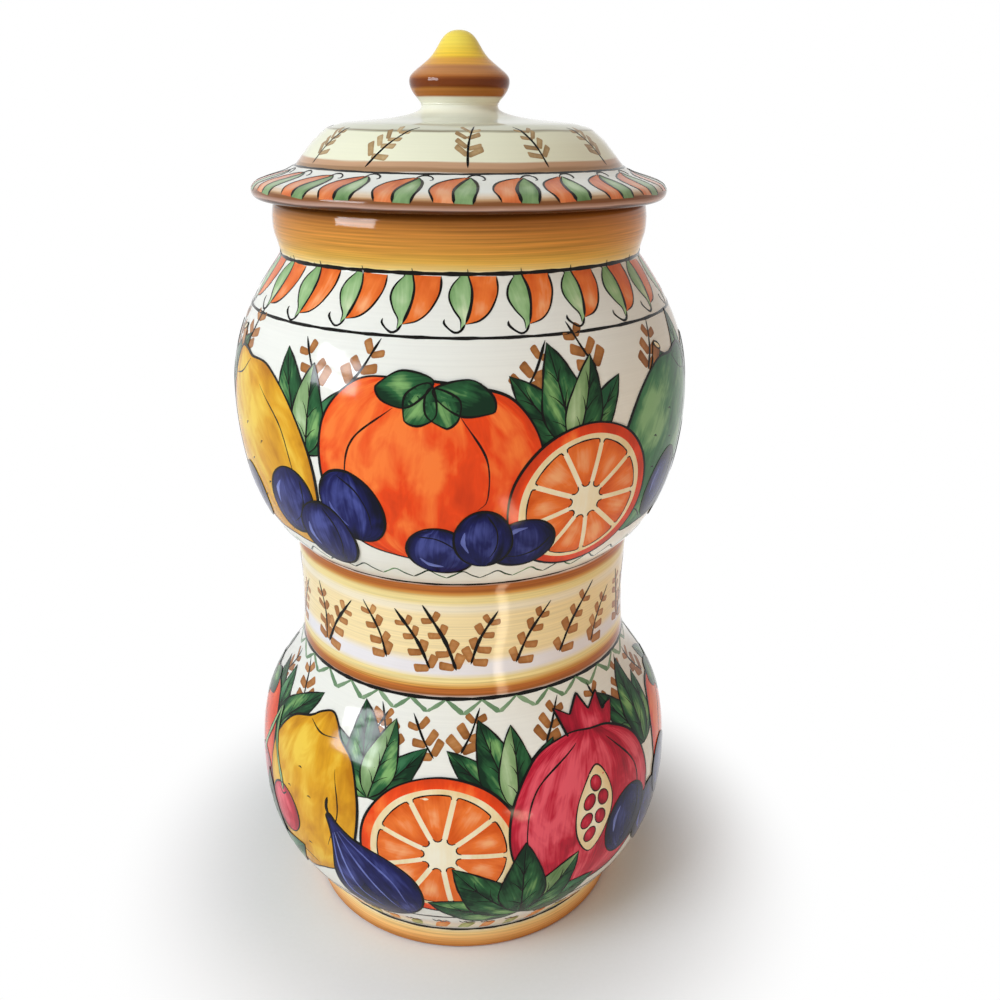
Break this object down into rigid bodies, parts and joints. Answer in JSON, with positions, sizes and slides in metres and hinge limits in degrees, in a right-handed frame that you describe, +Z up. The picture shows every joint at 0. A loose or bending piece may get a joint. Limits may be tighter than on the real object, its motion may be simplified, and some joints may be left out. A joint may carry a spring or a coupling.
{
  "type": "biscotti jar",
  "caption": "Tall glazed ceramic biscotti jar with two round bellies, a straight collar between them, a rolled rim and a domed lid with a pointed knob.",
  "frame": {"origin": "centre of the foot ring, on the surface that the jar stands on", "axes": "+Z up along the jar's turning axis; -Y is the side that the picture shows; the turned shape is the same all round"},
  "size_m": [0.166, 0.166, 0.33],
  "materials": {
    "body_glaze": "earthenware, slip-cast, painted by hand under a clear gloss glaze on a cream-white ground",
    "lid_glaze": "earthenware, slip-cast, painted by hand under a clear gloss glaze, pale sage dome and cream brim",
    "knob_glaze": "earthenware, painted yellow, ochre and brown under a clear gloss glaze",
    "silicone": "moulded translucent silicone, satin"
  },
  "bodies": {
    "jar": {"jar_body": "body_glaze"},
    "lid": {"lid": "lid_glaze", "lid_knob": "knob_glaze", "lid_seal": "silicone"}
  },
  "joints": [
    {"name": "lid_lift", "type": "slide", "parent": "jar", "child": "lid", "axis": [0, 0, 1], "range_m": [0, 0.12]}
  ]
}
